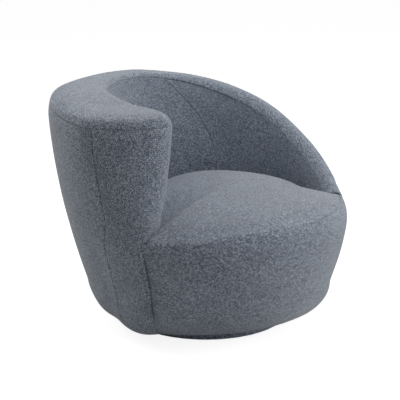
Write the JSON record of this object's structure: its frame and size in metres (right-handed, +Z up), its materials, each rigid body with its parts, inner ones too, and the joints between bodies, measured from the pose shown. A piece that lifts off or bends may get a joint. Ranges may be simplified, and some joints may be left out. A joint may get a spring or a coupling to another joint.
{
  "type": "swivel armchair",
  "caption": "Round upholstered swivel armchair: one high arm winds round the back and sinks into the low domed seat, on a hidden turning plinth.",
  "frame": {"origin": "on the swivel axis at floor level, under the middle of the round plinth", "axes": "+Z up along the swivel axis, -Y towards the open front of the seat, +X towards the low side without an arm"},
  "size_m": [0.8732, 0.8712, 0.6814],
  "materials": {
    "tweed": "matte heathered weave",
    "dust_cloth": "matte",
    "hardboard": "matte",
    "foam": "matte",
    "wadding": "matte",
    "webbing": "matte",
    "zinc_steel": "satin",
    "plate_steel": "satin",
    "cage_plastic": "matte",
    "glide_plastic": "matte",
    "softwood": "matte",
    "plywood": "matte"
  },
  "bodies": {
    "plinth": {"glides": "glide_plastic", "plinth_lower_board": "plywood", "plinth_ring": "plywood", "plinth_upper_board": "plywood", "plinth_screws": "zinc_steel", "plinth_cover": "tweed", "lower_swivel_plate": "plate_steel", "lower_plate_screws": "zinc_steel"},
    "cage": {"ball_cage": "cage_plastic", "swivel_balls": "zinc_steel"},
    "chair": {"upper_swivel_plate": "plate_steel", "swivel_pin": "zinc_steel", "upper_plate_bolts": "zinc_steel", "tee_nuts": "zinc_steel", "base_panel": "plywood", "skirt_ring": "plywood", "dust_cover": "dust_cloth", "rib_screws": "zinc_steel", "seat_ring_board": "plywood", "ring_screws": "zinc_steel", "webbing_long": "webbing", "webbing_cross": "webbing", "arm_post": "softwood", "arm_shelf": "plywood", "top_rail": "softwood", "arm_liner": "hardboard", "front_liner": "hardboard", "shell_wadding": "wadding", "arm_front_foam": "foam", "front_foam": "foam", "top_foam": "foam", "inner_foam_left": "foam", "inner_foam_right": "foam", "seat_foam": "foam", "shell_cover": "tweed", "arm_front_cover": "tweed", "top_cover": "tweed", "inner_cover_left": "tweed", "inner_cover_right": "tweed", "seat_cover": "tweed", "front_cover": "tweed", "back_rib_1": "plywood", "back_rib_2": "plywood", "back_rib_3": "plywood", "back_rib_4": "plywood", "back_rib_5": "plywood", "back_rib_6": "plywood", "back_rib_7": "plywood", "front_rib_1": "plywood", "front_rib_2": "plywood", "front_rib_3": "plywood", "front_rib_4": "plywood", "front_rib_5": "plywood", "shell_liner_1": "hardboard", "shell_liner_2": "hardboard", "shell_liner_3": "hardboard", "back_liner_1": "hardboard", "back_liner_2": "hardboard"}
  },
  "joints": [
    {"name": "swivel", "type": "hinge", "parent": "plinth", "child": "chair", "pos_m": [0, 0, 0], "axis": [0, 0, 1], "continuous": true},
    {"name": "cage_turn", "type": "hinge", "parent": "plinth", "child": "cage", "pos_m": [0, 0, 0], "axis": [0, 0, 1], "continuous": true}
  ],
  "couplings": [
    {"joint": "cage_turn", "follows": "swivel", "ratio": 0.5}
  ]
}
